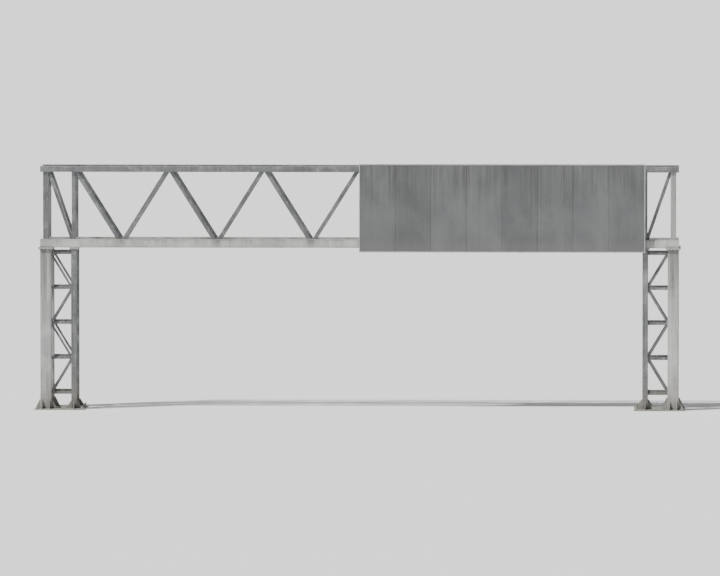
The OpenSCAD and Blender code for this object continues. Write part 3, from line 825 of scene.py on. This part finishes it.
def leg_welds(sign):
    piece, mirror = Piece(), sign < 0
    x0, x1, h = XI + INNER / 2, XO - POST / 2, LACE / 2
    for y in (-YF, YF):
        # both posts under their flange plates
        for x, w, r, leg in ((XI, INNER, 0.016, 0.008), (XO, POST, 0.028, 0.012)):
            end_bead(piece, (x, y, 3), (0, 0, 1), (1, 0, 0), (0, 1, 0), w, w, r,
                     [((0, 0, Z_BEAR), (0, 0, -1))], leg, mirror)
        for z in LEVELS:
            for way, x in ((1, x1), (-1, x0)):
                end_bead(piece, ((x0 + x1) / 2, y, z), (way, 0, 0), (0, 1, 0), (0, 0, 1), LACE, LACE,
                         0.008, [((x, 0, 0), (-way, 0, 0))], 0.006, mirror)
        for i in range(4):
            up = i % 2 == 0
            za, zb = LEVELS[i] + h, LEVELS[i + 1] - h
            planes = [((x0, 0, 0), (1, 0, 0)), ((x1, 0, 0), (-1, 0, 0)),
                      ((0, 0, za), (0, 0, 1)), ((0, 0, zb), (0, 0, -1))]
            slant_ends(piece, (x1 if up else x0, y, za), (x0 if up else x1, y, zb), (0, 1, 0),
                       SLANT, 0.008, planes, 0.005, mirror)
    for z in LEVELS:
        for way in (1, -1):
            end_bead(piece, (XO, 0, z), (0, way, 0), (1, 0, 0), (0, 0, 1), LACE, LACE, 0.008,
                     [((0, way * Y_POST, 0), (0, -way, 0))], 0.006, mirror)
    for i in range(4):
        s = -1 if i % 2 == 0 else 1
        za, zb = LEVELS[i] + h, LEVELS[i + 1] - h
        planes = [((0, -Y_POST, 0), (0, 1, 0)), ((0, Y_POST, 0), (0, -1, 0)),
                  ((0, 0, za), (0, 0, 1)), ((0, 0, zb), (0, 0, -1))]
        slant_ends(piece, (XO, s * Y_POST, za), (XO, -s * Y_POST, zb), (1, 0, 0), SLANT, 0.008,
                   planes, 0.005, mirror)
    return piece


for sign, side in ((-1, "left"), (1, "right")):
    leg_welds(sign).make(f"{side}_leg_welds", [GREY_STEEL], "grey_steel", 60)


# ----------------------------------------------------------------- the boom

def face_welds(y):
    piece = Piece()
    xe = XI - VERT / 2
    planes = [((-xe, 0, 0), (1, 0, 0)), ((xe, 0, 0), (-1, 0, 0)),
              ((0, 0, ZB_HI), (0, 0, 1)), ((0, 0, ZT_LO), (0, 0, -1))]
    za, zb = ZT_LO + 0.15, ZB_HI - 0.15
    for i in range(BAYS):
        xa = -XI + i * BAY
        xm = xa + BAY / 2
        slant_ends(piece, (xa, y, za), (xm, y, zb), (0, 1, 0), DIAG, 0.014, planes, 0.008)
        slant_ends(piece, (xm, y, zb), (xa + BAY, y, za), (0, 1, 0), DIAG, 0.014, planes, 0.008)
    for s in (-1, 1):
        mirror = s < 0
        for x, w, r in ((XI, VERT, 0.012), (XO, OUTER_VERT, 0.016)):
            before = len(piece.slots)
            for way, z in ((1, ZT_LO), (-1, ZB_HI)):
                end_bead(piece, (x, y, 7.3), (0, 0, way), (1, 0, 0), (0, 1, 0), w, w, r,
                         [((0, 0, z), (0, 0, -way))], 0.008, mirror)
            # welds on the right outer upright take its darker copy of the paint, which is painted shade
            if x == XO and s > 0:
                piece.slots[before:] = [1] * (len(piece.slots) - before)
        xa, xb = XI + VERT / 2, XO - OUTER_VERT / 2
        slant_ends(piece, (xa, y, ZB_HI), (xb, y, ZT_LO), (0, 1, 0), 0.1, 0.010,
                   [((xa, 0, 0), (1, 0, 0)), ((xb, 0, 0), (-1, 0, 0)),
                    ((0, 0, ZB_HI), (0, 0, 1)), ((0, 0, ZT_LO), (0, 0, -1))], 0.006, mirror)
        seam(piece, (X_CHORD, y, ZT), (1, 0, 0), (0, 1, 0), (0, 0, 1), 0.3, 0.2, 0.016, 0.012, 0.0022, mirror)
    return piece


face_welds(-YF).make("front_face_welds", [BOOM_STEEL, SHADED_UPRIGHT_PAINT], "grey_steel", 60)
face_welds(YF).make("rear_face_welds", [BOOM_STEEL, SHADED_UPRIGHT_PAINT], "grey_steel", 60)


def right_end_uprights():
    """The uprights over the right leg. The outer ones carry a darker copy of the posts' light paint up to the top
    chord, painted shade that goes on from the posts' darkened tops; the inner ones are bare, as on the left."""
    piece = Piece()
    for y in (-YF, YF):
        for x, w, r, slot in ((XO, OUTER_VERT, 0.016, 0), (XI, VERT, 0.012, 1)):
            pts, _ = outline(w, w, r)
            piece.add(loft([np.column_stack([x + pts[:, 0], y + pts[:, 1], np.full(len(pts), z)])
                            for z in (ZB_HI - 0.0005, ZT_LO + 0.0005)]), slot=slot)
    return piece


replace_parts(right_end_uprights().make("right_end_uprights", [SHADED_UPRIGHT_PAINT, BOOM_STEEL], "light_paint"),
            "right_end_verticals")


def brace_welds(xs, z, ends=False):
    piece = Piece()
    if ends:
        planes = [((0, -Y_VERT, 0), (0, 1, 0)), ((0, Y_VERT, 0), (0, -1, 0))]
        for mirror in (False, True):
            slant_ends(piece, (XO, -Y_VERT, ZB_HI + 0.25), (XO, Y_VERT, ZT_LO - 0.25), (1, 0, 0), SLANT,
                       0.008, planes, 0.005, mirror)
    for x in xs:
        for way in (1, -1):
            end_bead(piece, (x, 0, z), (0, way, 0), (1, 0, 0), (0, 0, 1), STRUT, STRUT, 0.010,
                     [((0, way * Y_CLEAR, 0), (0, -way, 0))], 0.006)
    for i in range(len(xs) - 1):
        s = -1 if i % 2 == 0 else 1
        xa, xb = xs[i] + STRUT / 2, xs[i + 1] - STRUT / 2
        slant_ends(piece, (xa, s * Y_CLEAR, z), (xb, -s * Y_CLEAR, z), (0, 0, 1), SLANT, 0.008,
                   [((xa, 0, 0), (1, 0, 0)), ((xb, 0, 0), (-1, 0, 0)),
                    ((0, -Y_CLEAR, 0), (0, 1, 0)), ((0, Y_CLEAR, 0), (0, -1, 0))], 0.005)
    return piece


TOP_X = [-XO] + [-XI + BAY * i for i in range(BAYS + 1)] + [XO]
BOTTOM_X = [-XO, -XI] + [-XI + BAY * (i + 0.5) for i in range(BAYS)] + [XI, XO]
brace_welds(TOP_X, ZT, True).make("top_brace_welds", [BOOM_STEEL], "grey_steel", 60)
brace_welds(BOTTOM_X, ZB).make("bottom_brace_welds", [BOOM_PAINT], "light_paint", 60)


FLANGES = ((XO, 0.54, 0.54), (XI, 0.32, 0.30))     # where, and their sides along X and Y


def flange_plates(sign):
    """Two plates bolted face to face between each post and the boom."""
    piece = Piece()
    t = (ZB_LO - Z_BEAR) / 2
    for y in (-YF, YF):
        for x, w, d in FLANGES:
            for k in (0, 1):
                slip = rng.uniform(-0.0012, 0.0012, 2)
                piece.add(slab((w - 0.003, d - 0.003, t - 0.0004),
                               (sign * x + slip[0], y + slip[1], Z_BEAR + t * (k + 0.5)), 0.0022, 0.014))
        # the boom's welds on them
        for x, w, d in FLANGES:
            x0, x1 = x - w / 2 + 0.012, min(x + w / 2 - 0.012, X_CHORD + CAP_T)
            for s in (-1, 1):
                if d > 0.3:
                    # the chord's lower edges are rounded, so the weld stands in under them
                    line_bead(piece, (x0, y + s * 0.1385, ZB_LO), (x1, y + s * 0.1385, ZB_LO), (0, s, 0),
                              (0, 0, 1), 0.013, sign < 0)
    return piece


def flange_bolts(sign):
    """Through bolts outside the chord, and studs with nuts under the inner plates."""
    piece = Piece()
    for y in (-YF, YF):
        for dy in (-0.235, 0.235):
            for dx in (-0.205, -0.07, 0.07, 0.205):
                at = np.array((sign * XO + dx, y + dy, 0.0))
                put_bolt(piece, at + (0, 0, ZB_LO - 0.0008), (0, 0, 1), 0.036, 0.015, 0.022, 0.004)
                put_nut(piece, at + (0, 0, Z_BEAR + 0.0008), (0, 0, -1), 0.036, 0.0215, 0.022, 0.004, 0.012, 0.014)
        for dx in (-0.13, 0.13):
            for dy in (-0.11, 0.11):
                put_nut(piece, (sign * XI + dx, y + dy, Z_BEAR + 0.0008), (0, 0, -1), 0.036, 0.0215,
                        0.022, 0.004, 0.012, 0.014)
    return piece


def chord_caps(sign):
    """The plates welded into the chords' ends, and the bottom chords' weld."""
    piece, mirror = Piece(), sign < 0
    for y in (-YF, YF):
        for z, h, slot in ((ZB, 0.3, 0), (ZT, 0.2, 1)):
            rings = []
            for x, less in ((X_CHORD, 0.0008), (X_CHORD + CAP_T - 0.002, 0.0008), (X_CHORD + CAP_T, 0.0028)):
                pts, _ = outline(0.3 - 2 * less, h - 2 * less, 0.016 - less)
                rings.append(np.column_stack([np.full(len(pts), x), y + pts[:, 0], z + pts[:, 1]]))
            piece.add(loft(rings), slot=slot, mirror=mirror)
        seam(piece, (X_CHORD, y, ZB), (1, 0, 0), (0, 1, 0), (0, 0, 1), 0.3, 0.3, 0.016, 0.012, 0.0022, mirror)
    return piece


for sign, side in ((-1, "left"), (1, "right")):
    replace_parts(flange_plates(sign).make(f"{side}_flange_plates", [BOOM_PAINT], "light_paint"),
                f"{side}_bearing_plates")
    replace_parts(chord_caps(sign).make(f"{side}_chord_caps", [BOOM_PAINT, BOOM_STEEL], "light_paint"),
                f"{side}_chord_end_caps")
    flange_bolts(sign).make(f"{side}_flange_bolts", [BOLTS], "grey_steel")


# ----------------------------------------------------------------- the sign

def channel(points, thick):
    """A thin folded strip: an open path of 2D points, thickened to one side
    (its left), with eased corners. Gives a closed outline."""
    pts = [np.array(p, float) for p in points]
    left, right = [], []
    for i, p in enumerate(pts):
        if i in (0, len(pts) - 1):
            q = pts[1] - pts[0] if i == 0 else pts[-1] - pts[-2]
            q = q / np.linalg.norm(q)
            left.append(p + thick * np.array((-q[1], q[0])))
            right.append(p)
            continue
        a = (p - pts[i - 1]) / np.linalg.norm(p - pts[i - 1])
        b = (pts[i + 1] - p) / np.linalg.norm(pts[i + 1] - p)
        turn = a[0] * b[1] - a[1] * b[0]
        if abs(turn) < 1e-6:
            n = np.array((-a[1], a[0]))
            left.append(p + thick * n)
            right.append(p)
            continue
        na, nb = np.array((-a[1], a[0])), np.array((-b[1], b[0]))
        moved = p + thick * (na + nb) / (1 + float(na @ nb))
        inside = turn * thick > 0      # the moved side is the inside of the bend
        for far, line, r in ((moved, left, 0.0015 if inside else 0.0045),
                             (p, right, 0.0045 if inside else 0.0015)):
            for k in range(4):
                s = k / 3
                q0, q2 = far - a * r, far + b * r
                line.append((1 - s) ** 2 * q0 + 2 * s * (1 - s) * far + s * s * q2)
    return np.array(right + left[::-1])


def sweep_x(profile, x0, x1):
    """A (y, z) outline run along X."""
    return loft([np.column_stack([np.full(len(profile), x), profile]) for x in (x0, x1)])


def sweep_z(profile, z0, z1):
    """An (x, y) outline run along Z."""
    return loft([np.column_stack([profile, np.full(len(profile), z)]) for z in (z0, z1)])


def trays():
    """Eight upright trays of 3 mm sheet, folded back at all four edges, each
    with two top-hat stiffeners on its back."""
    piece = Piece()
    z0, z1, t = SIGN_Z0 + TRIM, SIGN_Z1 - TRIM, 0.003
    for i in range(SHEETS):
        x0 = SIGN_X0 + TRIM + i * (SHEET_W + SHEET_GAP)
        x1 = x0 + SHEET_W
        # right-hand side of the path is the outside of the tray
        path = [(x0 + 0.022, Y_TRAY_BACK), (x0, Y_TRAY_BACK), (x0, Y_FACE)]
        path += [(x0 + SHEET_W * k / 14, Y_FACE) for k in range(1, 14)]
        path += [(x1, Y_FACE), (x1, Y_TRAY_BACK), (x1 - 0.022, Y_TRAY_BACK)]
        ring = channel(path, t)
        amp = rng.uniform(0.0003, 0.0006, 3)
        ph = rng.uniform(0, 2 * math.pi, 6)
        rings = []
        for z in np.linspace(z0, z1, 29):
            x, y = ring[:, 0], ring[:, 1].copy()
            skin = (y < Y_FACE + 0.0035) & (x > x0 + 0.02) & (x < x1 - 0.02)
            u, w = (x - x0) / SHEET_W, (z - z0) / (z1 - z0)
            edge = np.sin(math.pi * np.clip(u, 0, 1)) ** 0.6 * math.sin(math.pi * w) ** 0.5 if 0 < w < 1 else 0 * u
            wave = (amp[0] * np.sin(2 * math.pi * 1.0 * u + ph[0]) * math.sin(2 * math.pi * 1.6 * w + ph[1])
                    + amp[1] * np.sin(2 * math.pi * 2.0 * u + ph[2]) * math.sin(2 * math.pi * 2.7 * w + ph[3])
                    + amp[2] * np.sin(2 * math.pi * 0.5 * u + ph[4]) * math.sin(2 * math.pi * 0.8 * w + ph[5]))
            y[skin] += (wave * edge)[skin]
            rings.append(np.column_stack([x, y, np.full(len(x), z)]))
        made = loft(rings)
        piece.add(made)
        faces = made[1]
        centre = np.array([made[0][list(f)].mean(0) for f in faces])
        normal = np.array([np.cross(made[0][f[1]] - made[0][f[0]], made[0][f[2]] - made[0][f[1]]) for f in faces])
        for k, (c, n) in enumerate(zip(centre, normal)):
            if not (n[1] < -0.5 * np.linalg.norm(n) and c[1] < Y_FACE + 0.006):
                piece.slots[len(piece.slots) - len(faces) + k] = 1
        # rubber seal in the joint to the next tray
        if i < SHEETS - 1:
            piece.add(slab((SHEET_GAP + 0.0006, 0.042, z1 - z0 - 0.004),
                           (x1 + SHEET_GAP / 2, Y_FACE + 0.026, (z0 + z1) / 2), 0.001), slot=2)
        # folded ends
        for s, z in ((1, z0), (-1, z1)):
            lip = channel([(Y_FACE + 0.0035, z), (Y_TRAY_BACK, z), (Y_TRAY_BACK, z + s * 0.022)], s * t)
            piece.add(sweep_x(lip, x0 + 0.0235, x1 - 0.0235), slot=1)
        # stiffeners
        for xs in (x0 + SHEET_W * 0.27, x0 + SHEET_W * 0.73):
            y = Y_FACE + t + 0.0006
            hat = channel([(xs + 0.045, y), (xs + 0.022, y), (xs + 0.016, y + 0.026),
                           (xs - 0.016, y + 0.026), (xs - 0.022, y), (xs - 0.045, y)], -0.002)
            piece.add(sweep_z(hat, z0 + 0.06, z1 - 0.06), slot=1)
    return piece


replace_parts(trays().make("sign_trays", [SHEET_FACE, SHEET_BACK, SEAL], "sign_sheet"), "sign_sheets")


def edge_frame():
    """An extruded edge trim with mitred corners, wrapped round the trays."""
    prof = [(0.0, Y_TRAY_BACK), (0.0, -1.1165)]
    prof += [(0.0035 - 0.0035 * math.cos(a), -1.1165 - 0.0035 * math.sin(a)) for a in np.linspace(0, math.pi / 2, 5)[1:]]
    prof += [(0.034 + 0.004 * math.sin(a), -1.116 - 0.004 * math.cos(a)) for a in np.linspace(0, math.pi / 2, 5)]
    prof += [(0.038, -1.1112), (0.0034, -1.1112), (0.0034, -1.0634), (0.0298, -1.0634), (0.0298, Y_TRAY_BACK)]
    prof = np.array(prof)
    piece, gap = Piece(), 0.0004
    n, y = prof[:, 0], prof[:, 1]
    for z, s in ((SIGN_Z0, 1), (SIGN_Z1, -1)):
        cuts = [SIGN_X0, SIGN_X0 + 3.4, SIGN_X0 + 6.8, SIGN_X1]
        for a, b in zip(cuts[:-1], cuts[1:]):
            left = a + (n + gap if a == SIGN_X0 else 0 * n + 0.001)
            right = b - (n + gap if b == SIGN_X1 else 0 * n + 0.001)
            piece.add(loft([np.column_stack([x, y, z + s * n]) for x in (left, right)]))
    for x, s in ((SIGN_X0, 1), (SIGN_X1, -1)):
        piece.add(loft([np.column_stack([x + s * n, y, z]) for z in
                        (SIGN_Z0 + n + gap, SIGN_Z1 - n - gap)]), slot=1)
    return piece


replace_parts(edge_frame().make("sign_edge_frame", [ALU_X, ALU_Z], "bare_aluminium"),
            "sign_long_trims", "sign_side_trims")


def rails():
    """Slotted channels behind the trays, the slot to the rear, and end plugs."""
    piece = Piece()
    for z in RAIL_Z:
        path = [(Y_RAIL_BACK, z + 0.024), (Y_RAIL_BACK, z), (Y_TRAY_BACK + 0.0003, z),
                (Y_TRAY_BACK + 0.0003, z + RAIL_H), (Y_RAIL_BACK, z + RAIL_H),
                (Y_RAIL_BACK, z + RAIL_H - 0.024)]
        piece.add(sweep_x(channel(path, -0.0035), 0.064, 10.136))
        for x in (0.062, 10.138):
            piece.add(slab((0.004, 0.0388, 0.079), (x, (Y_RAIL_BACK + Y_TRAY_BACK) / 2 + 0.0003, z + RAIL_H / 2), 0.001))
    return piece


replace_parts(rails().make("slotted_sign_rails", [ALU_X], "bare_aluminium"), "sign_rails")


def sign_fixings():
    """Cleats, clamps, bolts and end caps of the sign's posts."""
    piece = Piece()
    for x in SIGN_POST_X:
        for z in RAIL_Z:
            zc = z + RAIL_H / 2
            for s in (-1, 1):
                face = x + s * 0.05
                angle = channel([(face, Y_RAIL_BACK + 0.048), (face, Y_RAIL_BACK), (face + s * 0.048, Y_RAIL_BACK)],
                                s * 0.005)
                # thickened away from the post and the rail
                piece.add(sweep_z(angle, zc - 0.03, zc + 0.03))
                put_bolt(piece, (face + s * 0.005, Y_RAIL_BACK + 0.031, zc), (s, 0, 0), 0.017, 0.0065, 0.0115, 0.002, 1)
                put_nut(piece, (face + s * 0.030, Y_RAIL_BACK + 0.005, zc), (0, 1, 0), 0.017, 0.0085, 0.0115,
                        0.002, 0.005, 0.006, 1)
        for zc, h, straps in ((ZT, 0.18, (8.535, 8.67)), (ZB, 0.28, (5.925, 6.035))):
            for sx in (-1, 1):
                for sz in (-1, 1):
                    put_bolt(piece, (x + sx * 0.112, Y_BRACKET, zc + sz * (h / 2 - 0.03)), (0, -1, 0),
                             0.024, 0.010, 0.015, 0.003, 1)
            for z in straps:
                g = 0.0003
                strap = channel([(x - 0.098, Y_BRACKET - g), (x - 0.050 - g, Y_BRACKET - g),
                                 (x - 0.050 - g, Y_RAIL_BACK - g), (x + 0.050 + g, Y_RAIL_BACK - g),
                                 (x + 0.050 + g, Y_BRACKET - g), (x + 0.098, Y_BRACKET - g)], -0.006)
                piece.add(sweep_z(strap, z - 0.0175, z + 0.0175))
                for s in (-1, 1):
                    put_bolt(piece, (x + s * 0.079, Y_BRACKET - g - 0.006, z), (0, -1, 0), 0.019, 0.0075,
                             0.012, 0.0025, 1)
        for z in (5.708, 8.742):
            piece.add(slab((0.102, 0.0995, 0.006), (x, -0.97, z), 0.0015, 0.011))
    return piece


sign_fixings().make("sign_fixings", [SIGN_STEEL, BOLTS], "grey_steel")


# ------------------------------------------------------------------- stage

def stage():
    mesh = bpy.data.meshes.new("floor")
    r = 3000.0
    mesh.from_pydata([(-r, -r, 0), (r, -r, 0), (r, r, 0), (-r, r, 0)], [], [(0, 1, 2, 3)])
    t = Tree("floor")
    t.finish(t.mix(t.noise(t.obj, 0.05, 3.0), (0.82, 0.82, 0.815), (0.84, 0.84, 0.835)), 0.9)
    mesh.materials.append(t.mat)
    floor = bpy.data.objects.new("floor", mesh)
    floor.location.z = -0.0005
    bpy.context.scene.collection.objects.link(floor)
    world = bpy.data.worlds.new("studio")
    world.use_nodes = True
    sky = world.node_tree.nodes["Background"]
    sky.inputs[0].default_value = (0.94, 0.97, 1.0, 1.0)
    sky.inputs[1].default_value = 0.28
    bpy.context.scene.world = world
    for name, way, energy, spread, colour in (
            ("key", (-0.70, -0.46, 1.05), 6.2, 5.0, (1.0, 0.99, 0.975)),
            ("fill", (0.75, 0.55, 0.60), 0.5, 40.0, (0.96, 0.975, 1.0))):
        sun = bpy.data.lights.new(name, "SUN")
        sun.energy, sun.angle, sun.color = energy, math.radians(spread), colour
        ob = bpy.data.objects.new(name, sun)
        ob.rotation_mode = "QUATERNION"
        ob.rotation_quaternion = Vector(way).to_track_quat("Z", "Y")
        bpy.context.scene.collection.objects.link(ob)


stage()
